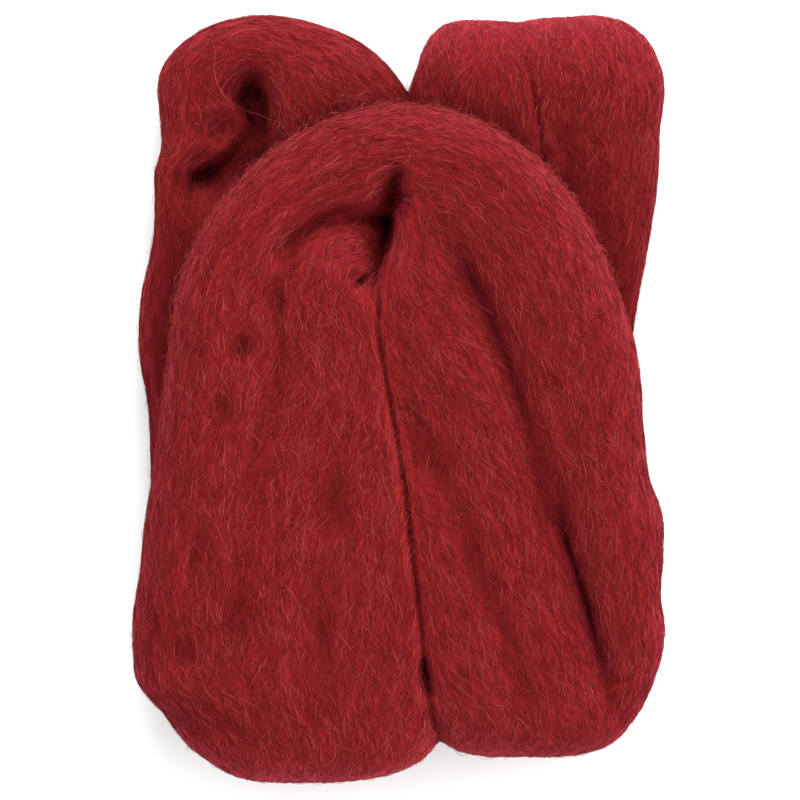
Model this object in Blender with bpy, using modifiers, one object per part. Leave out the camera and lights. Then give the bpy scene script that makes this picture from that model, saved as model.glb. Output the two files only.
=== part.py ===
"""A hank of dyed wool roving: one thick, untwisted rope of combed fibre, folded back and
forth into a flat bundle and lying on its back. Two folds and a small loop lie at the back,
and a broad arch with two long legs lies over them. X runs across the hank, Y up its length
and Z up from the surface it lies on. The file works in metres and its tables are in
millimetres."""

from collections import namedtuple

import bmesh
import bpy
import numpy as np

MM = 0.001

# How the rope's lengths are drawn: distance between sections, points round a section,
# and how soon a folded end rounds off.
SECTION_STEP = 3.0
POINTS_ROUND = 40
END_ROUNDING = 15.0
END_ANGLES = (6, 16, 28, 42, 58, 74)
CORNER_ROUNDING = 7.0
ROUND_SIDE = 2.4
PRESSED_SIDE = 5.0

# The rope's lengths press into one another, which rounds the creases between them.
FELT_VOXEL = 0.8
FELT_SMOOTHING = 14
FELT_SHARE = 0.5
TRIANGLES = 10400

# A crease keeps this share of its depth at its two ends.
CREASE_END = 0.4

# The slab that flattens the underside, and the dyed wool.
FLOOR_SLAB = 400.0
WOOL_RED = (0.235, 0.018, 0.02, 1.0)
WOOL_ROUGHNESS = 0.9

Section = namedtuple("Section", "x y z heading half_width half_depth")
Crease = namedtuple("Crease", "width depth line")

# Each row is a section of the rope. Its heading is the way the fibre runs through it, in
# degrees from X towards Y.

# Front layer. The arch rises out of the left leg, goes over the top and ends at the foot of
# the right leg.
ARCH = [
    Section(-45.0, -71.5, 16.5, 92, 14.5, 14.0),
    Section(-46.5, -52.0, 17.5, 92, 17.5, 17.5),
    Section(-45.8, -38.0, 18.8, 91, 17.8, 18.0),
    Section(-44.5, -22.0, 20.5, 88, 16.7, 17.5),
    Section(-42.0, -5.0, 23.0, 86, 16.8, 16.0),
    Section(-40.0, 12.0, 25.0, 84, 16.5, 14.8),
    Section(-38.5, 26.0, 26.0, 74, 15.3, 14.3),
    Section(-31.5, 42.0, 26.0, 56, 13.5, 14.3),
    Section(-16.5, 54.3, 26.0, 28, 13.0, 14.0),
    Section(0.0, 59.0, 26.5, 0, 13.0, 14.0),
    Section(14.6, 53.8, 26.5, -30, 14.8, 14.0),
    Section(27.1, 39.9, 26.0, -50, 17.6, 14.0),
    Section(36.6, 22.1, 26.0, -66, 17.3, 14.0),
    Section(42.3, 4.7, 24.5, -73, 16.9, 14.5),
    Section(45.5, -11.2, 22.0, -78, 14.8, 15.8),
    Section(49.0, -22.0, 20.0, -80, 12.6, 16.6),
    Section(52.0, -31.0, 18.5, -81, 12.9, 17.0),
    Section(54.0, -43.0, 17.0, -83, 10.9, 16.5),
    Section(55.0, -49.5, 16.5, -84, 9.4, 16.3),
    Section(56.2, -60.0, 15.5, -86, 9.4, 15.5),
    Section(55.6, -70.0, 15.0, -92, 7.2, 14.0),
    Section(51.5, -82.5, 14.5, -100, 5.5, 13.0),
]

# The left leg fans out of the crotch under the arch and spreads into one broad mass.
LEFT_LEG = [
    Section(0.0, 40.0, 15.0, -185, 4.5, 8.0),
    Section(-7.0, 38.0, 22.5, -170, 8.5, 10.5),
    Section(-15.0, 34.0, 26.0, -138, 13.5, 13.3),
    Section(-19.5, 25.0, 26.3, -108, 16.5, 13.7),
    Section(-18.5, 12.0, 25.0, -93, 18.7, 14.3),
    Section(-19.5, -5.0, 22.5, -90, 26.0, 16.3),
    Section(-24.5, -24.5, 20.0, -90, 33.5, 18.0),
    Section(-27.2, -44.5, 18.5, -90, 37.0, 18.8),
    Section(-27.3, -62.0, 18.0, -90, 38.7, 18.5),
    Section(-26.7, -72.0, 17.5, -90, 37.3, 18.0),
    Section(-24.4, -78.5, 17.0, -90, 33.3, 17.5),
    Section(-21.8, -86.0, 16.5, -90, 30.7, 17.0),
    Section(-21.5, -91.0, 16.5, -90, 24.5, 17.0),
    Section(-25.0, -95.3, 16.5, -90, 18.0, 17.0),
]

# The inner part of the right leg, its near edge tucked under the left leg.
RIGHT_LEG = [
    Section(10.5, 63.0, 24.0, -60, 9.0, 11.0),
    Section(10.0, 52.5, 25.8, -62, 11.8, 13.4),
    Section(9.0, 42.5, 25.9, -65, 11.8, 13.6),
    Section(7.0, 32.0, 25.3, -69, 14.5, 13.7),
    Section(8.3, 15.5, 24.4, -75, 20.2, 14.4),
    Section(11.5, -1.0, 22.0, -80, 24.5, 15.6),
    Section(15.5, -24.5, 19.0, -83, 26.3, 17.2),
    Section(20.8, -50.0, 17.5, -85, 26.2, 17.5),
    Section(25.8, -65.0, 17.0, -87, 25.7, 17.2),
    Section(30.6, -76.0, 16.5, -89, 25.2, 16.8),
    Section(32.5, -82.0, 16.0, -90, 24.0, 16.5),
    Section(31.5, -89.0, 16.0, -90, 20.5, 16.5),
]

# Back layer. One length comes up the left side and turns over in a small loop round an
# eye, then goes down behind the arch.
LOOP = [
    Section(-52.5, -52.0, 11.5, 90, 9.5, 12.0),
    Section(-52.0, -34.5, 11.0, 90, 9.5, 12.0),
    Section(-53.0, -16.0, 10.2, 90, 9.0, 11.2),
    Section(-53.2, -4.0, 9.8, 91, 9.2, 10.8),
    Section(-54.3, 13.5, 9.6, 90, 10.8, 10.6),
    Section(-54.0, 26.0, 9.6, 90, 10.3, 10.6),
    Section(-54.0, 40.0, 9.8, 91, 7.5, 10.8),
    Section(-56.0, 49.0, 10.2, 90, 5.0, 11.2),
    Section(-56.0, 56.0, 10.8, 88, 5.0, 11.8),
    Section(-50.5, 61.5, 11.5, 86, 8.5, 12.5),
    Section(-48.3, 67.5, 11.8, 84, 10.9, 13.0),
    Section(-49.8, 77.5, 12.4, 68, 10.4, 13.6),
    Section(-44.2, 84.6, 12.5, 45, 8.8, 13.8),
    Section(-35.9, 86.7, 12.5, 8, 8.3, 13.5),
    Section(-26.2, 80.3, 12.5, -26, 14.0, 13.5),
    Section(-20.4, 71.3, 12.0, -42, 20.4, 13.0),
    Section(-15.2, 64.5, 11.5, -57, 20.5, 12.5),
    Section(-10.0, 54.0, 11.0, -76, 13.0, 12.0),
    Section(-9.0, 42.0, 10.5, -86, 9.0, 11.5),
]

# The broad fold at the back right is two soft lobes side by side.
FOLD_INNER = [
    Section(21.3, 94.2, 12.7, -92, 12.5, 13.7),
    Section(21.0, 87.0, 12.7, -91, 15.0, 13.7),
    Section(21.0, 81.0, 12.7, -90, 17.0, 13.7),
    Section(21.0, 74.0, 12.3, -89, 18.7, 13.4),
    Section(21.5, 61.5, 11.8, -86, 20.5, 12.9),
    Section(22.0, 45.0, 11.0, -82, 20.0, 12.0),
    Section(25.0, 20.0, 10.5, -80, 16.0, 11.5),
]
FOLD_OUTER = [
    Section(41.0, 95.1, 12.5, -86, 15.2, 13.8),
    Section(43.9, 88.5, 12.5, -88, 18.2, 13.8),
    Section(46.1, 79.0, 12.5, -89, 19.8, 13.8),
    Section(46.6, 66.5, 11.2, -90, 18.2, 12.5),
    Section(47.3, 54.0, 9.8, -92, 17.1, 11.1),
    Section(46.3, 41.5, 9.0, -95, 16.3, 10.2),
    Section(43.0, 22.0, 8.8, -97, 16.0, 10.0),
    Section(41.0, 0.0, 11.5, -95, 15.0, 12.5),
    Section(39.5, -20.0, 11.5, -92, 14.0, 12.5),
    Section(39.0, -40.0, 11.5, -90, 12.0, 12.5),
]

# The rope's own windings fill the middle under the arch, and a thin layer closes the eye.
MIDDLE = [
    Section(0.0, 56.0, 12.0, -90, 26.0, 12.5),
    Section(0.0, 25.0, 13.0, -90, 42.0, 14.0),
    Section(0.0, -10.0, 13.5, -90, 46.0, 15.0),
    Section(-2.0, -50.0, 14.0, -90, 46.0, 15.0),
    Section(-2.0, -78.0, 14.0, -90, 40.0, 15.0),
]
EYE_FLOOR = [
    Section(-42.0, 24.0, 10.0, 90, 12.0, 11.0),
    Section(-42.0, 40.0, 12.0, 88, 12.5, 12.0),
    Section(-42.5, 55.0, 9.0, 80, 13.5, 10.0),
    Section(-37.5, 70.0, 7.5, 62, 14.0, 9.0),
    Section(-27.0, 82.0, 6.0, 40, 11.0, 7.0),
]

# A loose strand of the rope half fills the valley between the arch and the right leg.
VALLEY = [
    Section(17.0, 45.0, 24.5, -55, 5.5, 12.0),
    Section(25.5, 31.0, 25.5, -63, 8.0, 12.0),
    Section(31.5, 14.0, 24.5, -70, 9.5, 12.3),
    Section(36.5, -6.0, 22.0, -77, 10.5, 13.2),
    Section(40.5, -26.0, 18.7, -80, 8.5, 13.8),
    Section(44.0, -42.0, 16.0, -81, 5.5, 13.0),
]

# Soft, shallow troughs pressed into the top along the fibre. Each crease runs along a line of
# places on the top.
TROUGHS = [
    Crease(3.4, 0.8, [(-29.5, 27.0), (-30.0, 20.0)]),
    Crease(3.6, 2.4, [(-37.0, 16.0), (-38.5, 8.0)]),
    Crease(4.0, 1.4, [(-43.0, 2.0), (-42.5, -8.0)]),
    Crease(3.6, 1.6, [(-48.0, -32.0), (-49.5, -47.0)]),
    Crease(4.0, 1.7, [(-38.5, -47.0), (-41.0, -65.0)]),
    Crease(4.5, 1.4, [(-52.5, -57.0), (-51.5, -66.0)]),
    Crease(4.0, 1.2, [(-16.5, -20.0), (-16.0, -36.0)]),
    Crease(4.2, 1.2, [(-21.0, -42.0), (-17.5, -74.0)]),
    Crease(4.2, 1.6, [(2.5, -5.5), (15.0, -29.0)]),
    Crease(4.4, 2.0, [(15.0, -29.0), (25.5, -58.0)]),
    Crease(4.6, 1.8, [(25.5, -58.0), (35.5, -82.0)]),
    Crease(8.0, 1.2, [(33.0, 14.0), (38.5, -8.0), (42.0, -34.0)]),
    Crease(4.2, 2.0, [(7.5, 42.0), (18.5, 25.0), (25.0, 13.0), (31.0, -2.5)]),
]

# The deep creases: where the left leg comes out under the arch, the pit beside it, the seam
# between the legs, the gap at their feet, the valley beside the right leg, the fold, and the
# hollow round the loop's eye.
CREASES = [
    Crease(2.4, 9.0, [(-1.2, 54.0), (-1.8, 50.0), (-2.6, 45.0), (-3.2, 39.0), (-5.0, 33.5)]),
    Crease(3.4, 6.0, [(-1.5, 51.0), (-3.2, 43.0)]),
    Crease(
        2.4,
        3.5,
        [
            (-4.0, 44.5), (-9.0, 45.3), (-15.0, 45.4), (-20.0, 43.0), (-25.0, 39.5),
            (-28.5, 35.5),
        ],
    ),
    Crease(2.2, 8.0, [(-10.0, 29.4), (-8.2, 27.4)]),
    Crease(
        0.7,
        2.0,
        [
            (-5.2, 33.0), (-5.0, 27.0), (-5.2, 17.0), (-3.4, 4.8), (-1.0, -7.5), (1.5, -22.3),
            (3.2, -39.5), (5.2, -54.3), (6.4, -69.0), (9.0, -82.0),
        ],
    ),
    Crease(1.5, 5.0, [(5.8, -64.0), (6.5, -69.0), (7.0, -71.5)]),
    Crease(5.5, 6.0, [(-52.0, 54.0), (-44.0, 58.5)]),
    Crease(8.0, 5.0, [(-44.5, 72.0), (-42.5, 62.0)]),
    Crease(
        1.3,
        2.5,
        [
            (39.0, -27.0), (41.0, -35.0), (43.5, -42.5), (47.0, -54.0), (50.0, -62.5),
            (53.0, -69.0),
        ],
    ),
    Crease(0.8, 1.5, [(31.0, 83.6), (32.2, 79.9), (34.2, 68.8), (35.9, 56.5), (37.2, 49.1)]),
]


def curve_through(rows, at):
    """Every column of the rows on a smooth curve, at these distances along the rope."""
    table = np.array(rows, float)
    steps = np.linalg.norm(np.diff(table[:, :2], axis=0), axis=1)
    marks = np.concatenate([[0.0], np.cumsum(steps)])
    slopes = np.gradient(table, marks, axis=0)
    index = np.clip(np.searchsorted(marks, at, side="right") - 1, 0, len(steps) - 1)
    span = steps[index][:, None]
    share = ((at - marks[index]) / steps[index])[:, None]
    from_start = (1 + 2 * share) * (1 - share) ** 2
    to_end = share**2 * (3 - 2 * share)
    return (
        from_start * table[index]
        + to_end * table[index + 1]
        + share * (1 - share) ** 2 * span * slopes[index]
        - share**2 * (1 - share) * span * slopes[index + 1]
    )


def length_of(rows):
    table = np.array(rows, float)
    return float(np.linalg.norm(np.diff(table[:, :2], axis=0), axis=1).sum())


def stations(length):
    """Distances along the rope, closer together where its two ends round off."""
    ends = END_ROUNDING * (1 - np.cos(np.radians(END_ANGLES)))
    count = max(2, round((length - 2 * END_ROUNDING) / SECTION_STEP))
    middle = np.linspace(END_ROUNDING, length - END_ROUNDING, count)
    return np.concatenate([ends, middle, length - ends[::-1]])


def rounded_off(share):
    """The height of a quarter circle at this share of the way in from its end."""
    return np.sqrt(1 - (1 - np.minimum(1, share)) ** 2)


def rope_length(name, rows, left_side=ROUND_SIDE, right_side=ROUND_SIDE):
    """One length of the rope as a closed skin. Its left and right sides are as seen along
    the rope; a side pressed against its neighbour is squarer."""
    length = length_of(rows)
    at = stations(length)
    x, y, z, heading, half_width, half_depth = curve_through(rows, at).T
    heading = np.radians(heading)
    right = np.stack([np.sin(heading), -np.cos(heading)], 1)
    to_end = np.minimum(at, length - at)
    half_width = half_width * np.sqrt(rounded_off(to_end / CORNER_ROUNDING))
    half_depth = half_depth * rounded_off(to_end / END_ROUNDING)

    turn = 2 * np.pi * np.arange(POINTS_ROUND) / POINTS_ROUND
    side = np.where(np.cos(turn) > 0, right_side, left_side)
    out = np.sign(np.cos(turn)) * np.abs(np.cos(turn)) ** (2 / side)
    up = np.sign(np.sin(turn)) * np.abs(np.sin(turn)) ** (2 / side)

    skin = bmesh.new()
    rings = []
    for i in range(len(at)):
        ring = []
        for across, rise in zip(out * half_width[i], up * half_depth[i]):
            place = (x[i] + across * right[i, 0], y[i] + across * right[i, 1], z[i] + rise)
            ring.append(skin.verts.new([value * MM for value in place]))
        rings.append(ring)
    for one, other in zip(rings, rings[1:]):
        for j in range(POINTS_ROUND):
            k = (j + 1) % POINTS_ROUND
            skin.faces.new((one[j], one[k], other[k], other[j]))
    skin.faces.new(rings[0][::-1])
    skin.faces.new(rings[-1])
    bmesh.ops.recalc_face_normals(skin, faces=skin.faces)
    mesh = bpy.data.meshes.new(name)
    skin.to_mesh(mesh)
    skin.free()
    return mesh


def evaluated_mesh(thing):
    graph = bpy.context.evaluated_depsgraph_get()
    return bpy.data.meshes.new_from_object(thing.evaluated_get(graph))


def places(mesh):
    found = np.empty(len(mesh.vertices) * 3, np.float32)
    mesh.vertices.foreach_get("co", found)
    return found.reshape(-1, 3).astype(float)


def place(mesh, found):
    mesh.vertices.foreach_set("co", found.astype(np.float32).ravel())
    mesh.update()


def press_creases(mesh):
    """Presses each crease into the upper side, deepest half way along and fading out."""
    found = places(mesh)
    normals = np.empty(len(mesh.vertices) * 3, np.float32)
    mesh.vertices.foreach_get("normal", normals)
    facing_up = np.clip(normals.reshape(-1, 3)[:, 2], 0, 1)
    sunk = np.zeros(len(found))
    for crease in TROUGHS + CREASES:
        line = np.array(crease.line, float) * MM
        steps = np.linalg.norm(np.diff(line, axis=0), axis=1)
        marks = np.concatenate([[0.0], np.cumsum(steps)]) / steps.sum()
        nearest = np.full(len(found), np.inf)
        along = np.zeros(len(found))
        for i in range(len(steps)):
            run = line[i + 1] - line[i]
            from_start = found[:, :2] - line[i]
            share = np.clip(from_start @ run / (run @ run), 0, 1)
            away = np.linalg.norm(from_start - share[:, None] * run, axis=1)
            closer = away < nearest
            nearest[closer] = away[closer]
            along[closer] = (marks[i] + share * (marks[i + 1] - marks[i]))[closer]
        fade = CREASE_END + (1 - CREASE_END) * np.sin(np.pi * along)
        sunk += crease.depth * MM * fade * np.exp(-((nearest / (crease.width * MM)) ** 2))
    found[:, 2] -= sunk * facing_up
    place(mesh, found)


def keep_outer_skin(mesh):
    """Removes any closed pocket left between the lengths inside the hank."""
    skin = bmesh.new()
    skin.from_mesh(mesh)
    skin.verts.ensure_lookup_table()
    unseen = set(skin.verts)
    groups = []
    while unseen:
        waiting = [unseen.pop()]
        group = list(waiting)
        while waiting:
            vert = waiting.pop()
            for edge in vert.link_edges:
                other = edge.other_vert(vert)
                if other in unseen:
                    unseen.remove(other)
                    waiting.append(other)
                    group.append(other)
        groups.append(group)
    groups.sort(key=len)
    for group in groups[:-1]:
        bmesh.ops.delete(skin, geom=group, context="VERTS")
    skin.to_mesh(mesh)
    skin.free()


for old in list(bpy.data.objects):
    bpy.data.objects.remove(old)

hank = bpy.data.collections.new("wool_roving_hank")
bpy.context.scene.collection.children.link(hank)
cutters = bpy.data.collections.new("cutters")
cutters.hide_render = True
bpy.context.scene.collection.children.link(cutters)

# The lengths of the one rope, laid over one another, felted into a single soft body.
lengths = [
    rope_length("arch", ARCH),
    rope_length("left_leg", LEFT_LEG, left_side=PRESSED_SIDE),
    rope_length("right_leg", RIGHT_LEG, right_side=PRESSED_SIDE),
    rope_length("loop", LOOP),
    rope_length("fold_inner", FOLD_INNER, left_side=PRESSED_SIDE),
    rope_length("fold_outer", FOLD_OUTER, right_side=PRESSED_SIDE),
    rope_length("middle", MIDDLE),
    rope_length("eye_floor", EYE_FLOOR),
    rope_length("valley", VALLEY),
]
together = bmesh.new()
for length in lengths:
    together.from_mesh(length)
laid = bpy.data.meshes.new("laid")
together.to_mesh(laid)
together.free()
felted = bpy.data.objects.new("felted", laid)
hank.objects.link(felted)
felting = felted.modifiers.new("felting", "REMESH")
felting.mode = "VOXEL"
felting.voxel_size = FELT_VOXEL * MM
softening = felted.modifiers.new("softening", "SMOOTH")
softening.factor = FELT_SHARE
softening.iterations = FELT_SMOOTHING
body = evaluated_mesh(felted)
keep_outer_skin(body)
press_creases(body)
bpy.data.objects.remove(felted)

roving = bpy.data.objects.new("roving", body)
hank.objects.link(roving)
thinning = roving.modifiers.new("thinning", "DECIMATE")
thinning.ratio = TRIANGLES / (2 * len(body.polygons))
thinning.use_collapse_triangulate = True
body = evaluated_mesh(roving)
roving.modifiers.remove(thinning)
found = places(body)
centre = (found.min(0) + found.max(0)) / 2
found[:, :2] -= centre[:2]
place(body, found)
roving.data = body
body.name = "roving"

# Its own weight flattens the underside where it lies.
slab_skin = bmesh.new()
bmesh.ops.create_cube(slab_skin, size=FLOOR_SLAB * MM)
bmesh.ops.translate(slab_skin, verts=slab_skin.verts, vec=(0, 0, -FLOOR_SLAB / 2 * MM))
slab_mesh = bpy.data.meshes.new("floor_slab")
slab_skin.to_mesh(slab_mesh)
slab_skin.free()
slab = bpy.data.objects.new("floor_slab", slab_mesh)
slab.display_type = "WIRE"
slab.hide_render = True
cutters.objects.link(slab)
resting = roving.modifiers.new("resting", "BOOLEAN")
resting.operation = "DIFFERENCE"
resting.solver = "EXACT"
resting.object = slab

# Combed wool, dyed a deep red.
wool = bpy.data.materials.new("wool_roving")
wool.use_nodes = True
wool.diffuse_color = WOOL_RED
surface = wool.node_tree.nodes["Principled BSDF"]
surface.inputs["Base Color"].default_value = WOOL_RED
surface.inputs["Roughness"].default_value = WOOL_ROUGHNESS
roving.data.materials.append(wool)
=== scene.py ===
import math
from collections import namedtuple

import bmesh
import bpy
import numpy as np
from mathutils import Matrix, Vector, noise
from mathutils.bvhtree import BVHTree


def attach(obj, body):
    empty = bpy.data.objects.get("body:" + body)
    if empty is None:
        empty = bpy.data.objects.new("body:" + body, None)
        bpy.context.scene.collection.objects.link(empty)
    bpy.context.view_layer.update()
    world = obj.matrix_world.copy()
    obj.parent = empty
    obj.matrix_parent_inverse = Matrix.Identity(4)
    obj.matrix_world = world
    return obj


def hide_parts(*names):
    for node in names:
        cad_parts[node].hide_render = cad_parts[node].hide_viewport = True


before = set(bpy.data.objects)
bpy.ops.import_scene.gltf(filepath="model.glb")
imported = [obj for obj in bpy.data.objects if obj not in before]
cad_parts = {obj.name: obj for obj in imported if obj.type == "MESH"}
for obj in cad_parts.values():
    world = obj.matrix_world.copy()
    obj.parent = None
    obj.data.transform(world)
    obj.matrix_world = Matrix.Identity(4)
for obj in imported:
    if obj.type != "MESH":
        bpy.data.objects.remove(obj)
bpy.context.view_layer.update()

# ------------------------------------------------------------------------------------------
# The wound rope. One thick, untwisted rope of combed wool, folded back and forth by hand into
# a flat hank: a small loop and a broad fold at the back, then an arch with two long legs over
# them. The lengths lie against each other and their loose surfaces cling together.
# ------------------------------------------------------------------------------------------

# Sizes are in millimetres, and MM turns them to metres where a mesh is made.
MM = 0.001
SECTION_STEP = 2.0
POINTS_ROUND = 48
END_ROUNDING = 15.0
END_ANGLES = (6, 16, 28, 42, 58, 74)
CORNER_ROUNDING = 7.0
END_KEPT = 0.15
ROUND_SIDE = 2.4
PRESSED_SIDE = 5.0
FELT_VOXEL = 0.75
FELT_SMOOTHING = 14
ROPE_TRIANGLES = 150000
CREASE_END = 0.4

Length = namedtuple("Length", "rows left_side right_side way slant")
Crease = namedtuple("Crease", "width depth line")

# Each row is a section of the rope: its x, y and z, the heading in degrees that the fibre runs
# at, half its width and half its depth.
ARCH = [
    (-45.0, -71.5, 16.5, 92, 14.5, 14.0),
    (-46.5, -52.0, 17.5, 92, 17.5, 17.5),
    (-45.8, -38.0, 18.8, 91, 17.8, 18.0),
    (-44.5, -22.0, 20.5, 88, 16.7, 17.5),
    (-42.0, -5.0, 23.0, 86, 16.8, 16.0),
    (-40.0, 12.0, 25.0, 84, 16.5, 14.8),
    (-38.5, 26.0, 26.0, 74, 15.3, 14.3),
    (-31.5, 42.0, 26.0, 56, 13.5, 14.3),
    (-16.5, 54.3, 26.0, 28, 13.0, 14.0),
    (0.0, 59.0, 26.5, 0, 13.0, 14.0),
    (14.6, 53.8, 26.5, -30, 14.8, 14.0),
    (27.1, 39.9, 26.0, -50, 17.6, 14.0),
    (36.6, 22.1, 26.0, -66, 17.3, 14.0),
    (42.3, 4.7, 24.5, -73, 16.9, 14.5),
    (45.5, -11.2, 22.0, -78, 14.8, 15.8),
    (49.0, -22.0, 20.0, -80, 12.6, 16.6),
    (52.0, -31.0, 18.5, -81, 12.9, 17.0),
    (54.0, -43.0, 17.0, -83, 10.9, 16.5),
    (55.0, -49.5, 16.5, -84, 9.4, 16.3),
    (56.2, -60.0, 15.5, -86, 9.4, 15.5),
    (55.6, -70.0, 15.0, -92, 7.2, 14.0),
    (51.5, -82.5, 14.5, -100, 5.5, 13.0),
]
LEFT_LEG = [
    (0.0, 40.0, 15.0, -185, 4.5, 8.0),
    (-7.0, 38.0, 22.5, -170, 8.5, 10.5),
    (-15.0, 34.0, 26.0, -138, 13.5, 13.3),
    (-19.5, 25.0, 26.3, -108, 16.5, 13.7),
    (-18.5, 12.0, 25.0, -93, 18.7, 14.3),
    (-19.5, -5.0, 22.5, -90, 26.0, 16.3),
    (-24.5, -24.5, 20.0, -90, 33.5, 18.0),
    (-27.2, -44.5, 18.5, -90, 37.0, 18.8),
    (-27.3, -62.0, 18.0, -90, 38.7, 18.5),
    (-26.7, -72.0, 17.5, -90, 37.3, 18.0),
    (-24.4, -78.5, 17.0, -90, 33.3, 17.5),
    (-21.8, -86.0, 16.5, -90, 30.7, 17.0),
    (-21.5, -91.0, 16.5, -90, 24.5, 17.0),
    (-25.0, -95.3, 16.5, -90, 18.0, 17.0),
]
RIGHT_LEG = [
    (10.5, 63.0, 24.0, -60, 9.0, 11.0),
    (10.0, 52.5, 25.8, -62, 11.8, 13.4),
    (9.0, 42.5, 25.9, -65, 11.8, 13.6),
    (7.0, 32.0, 25.3, -69, 14.5, 13.7),
    (8.3, 15.5, 24.4, -75, 20.2, 14.4),
    (11.5, -1.0, 22.0, -80, 24.5, 15.6),
    (15.5, -24.5, 19.0, -83, 26.3, 17.2),
    (20.8, -50.0, 17.5, -85, 26.2, 17.5),
    (25.8, -65.0, 17.0, -87, 25.7, 17.2),
    (30.6, -76.0, 16.5, -89, 25.2, 16.8),
    (32.5, -82.0, 16.0, -90, 24.0, 16.5),
    (31.5, -89.0, 16.0, -90, 20.5, 16.5),
]
LOOP = [
    (-52.5, -52.0, 11.5, 90, 9.5, 12.0),
    (-52.0, -34.5, 11.0, 90, 9.5, 12.0),
    (-53.0, -16.0, 10.2, 90, 9.0, 11.2),
    (-53.2, -4.0, 9.8, 91, 9.2, 10.8),
    (-54.3, 13.5, 9.6, 90, 10.8, 10.6),
    (-54.0, 26.0, 9.6, 90, 10.3, 10.6),
    (-54.0, 40.0, 9.8, 91, 7.5, 10.8),
    (-56.0, 49.0, 10.2, 90, 5.0, 11.2),
    (-56.0, 56.0, 10.8, 88, 5.0, 11.8),
    (-50.5, 61.5, 11.5, 86, 8.5, 12.5),
    (-48.3, 67.5, 11.8, 84, 10.9, 13.0),
    (-49.8, 77.5, 12.4, 68, 10.4, 13.6),
    (-44.2, 84.6, 12.5, 45, 8.8, 13.8),
    (-35.9, 86.7, 12.5, 8, 8.3, 13.5),
    (-26.2, 80.3, 12.5, -26, 14.0, 13.5),
    (-20.4, 71.3, 12.0, -42, 20.4, 13.0),
    (-15.2, 64.5, 11.5, -57, 20.5, 12.5),
    (-10.0, 54.0, 11.0, -76, 13.0, 12.0),
    (-9.0, 42.0, 10.5, -86, 9.0, 11.5),
]
FOLD_INNER = [
    (21.3, 94.2, 12.7, -92, 12.5, 13.7),
    (21.0, 87.0, 12.7, -91, 15.0, 13.7),
    (21.0, 81.0, 12.7, -90, 17.0, 13.7),
    (21.0, 74.0, 12.3, -89, 18.7, 13.4),
    (21.5, 61.5, 11.8, -86, 20.5, 12.9),
    (22.0, 45.0, 11.0, -82, 20.0, 12.0),
    (25.0, 20.0, 10.5, -80, 16.0, 11.5),
]
FOLD_OUTER = [
    (41.0, 95.1, 12.5, -86, 15.2, 13.8),
    (43.9, 88.5, 12.5, -88, 18.2, 13.8),
    (46.1, 79.0, 12.5, -89, 19.8, 13.8),
    (46.6, 66.5, 11.2, -90, 18.2, 12.5),
    (47.3, 54.0, 9.8, -92, 17.1, 11.1),
    (46.3, 41.5, 9.0, -95, 16.3, 10.2),
    (43.0, 22.0, 8.8, -97, 16.0, 10.0),
    (41.0, 0.0, 11.5, -95, 15.0, 12.5),
    (39.5, -20.0, 11.5, -92, 14.0, 12.5),
    (39.0, -40.0, 11.5, -90, 12.0, 12.5),
]
MIDDLE = [
    (0.0, 56.0, 12.0, -90, 26.0, 12.5),
    (0.0, 25.0, 13.0, -90, 42.0, 14.0),
    (0.0, -10.0, 13.5, -90, 46.0, 15.0),
    (-2.0, -50.0, 14.0, -90, 46.0, 15.0),
    (-2.0, -78.0, 14.0, -90, 40.0, 15.0),
]
EYE_FLOOR = [
    (-42.0, 24.0, 10.0, 90, 12.0, 11.0),
    (-42.0, 40.0, 12.0, 88, 12.5, 12.0),
    (-42.5, 55.0, 9.0, 80, 13.5, 10.0),
    (-37.5, 70.0, 7.5, 62, 14.0, 9.0),
    (-27.0, 82.0, 6.0, 40, 11.0, 7.0),
]
# A loose strand of the rope, which half fills the valley between the arch and the right leg.
VALLEY = [
    (17.0, 45.0, 24.5, -55, 5.5, 12.0),
    (25.5, 31.0, 25.5, -63, 8.0, 12.0),
    (31.5, 14.0, 24.5, -70, 9.5, 12.3),
    (36.5, -6.0, 22.0, -77, 10.5, 13.2),
    (40.5, -26.0, 18.7, -80, 8.5, 13.8),
    (44.0, -42.0, 16.0, -81, 5.5, 13.0),
]

# The way is 1 where the fibre is followed along the rows and -1 where it is followed back,
# so that neighbouring lengths agree. The slant is how far, in degrees, the fibre is turned from
# the rope's own line where the length begins, and it fades out along the length.
LENGTHS = [
    Length(ARCH, ROUND_SIDE, ROUND_SIDE, 1, 0),
    Length(LEFT_LEG, PRESSED_SIDE, ROUND_SIDE, -1, 0),
    Length(RIGHT_LEG, ROUND_SIDE, PRESSED_SIDE, 1, 55),
    Length(LOOP, ROUND_SIDE, ROUND_SIDE, 1, 0),
    Length(FOLD_INNER, PRESSED_SIDE, ROUND_SIDE, 1, 0),
    Length(FOLD_OUTER, ROUND_SIDE, PRESSED_SIDE, 1, 0),
    Length(MIDDLE, ROUND_SIDE, ROUND_SIDE, 1, 0),
    Length(EYE_FLOOR, ROUND_SIDE, ROUND_SIDE, 1, 0),
    Length(VALLEY, ROUND_SIDE, ROUND_SIDE, 1, 0),
]

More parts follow.
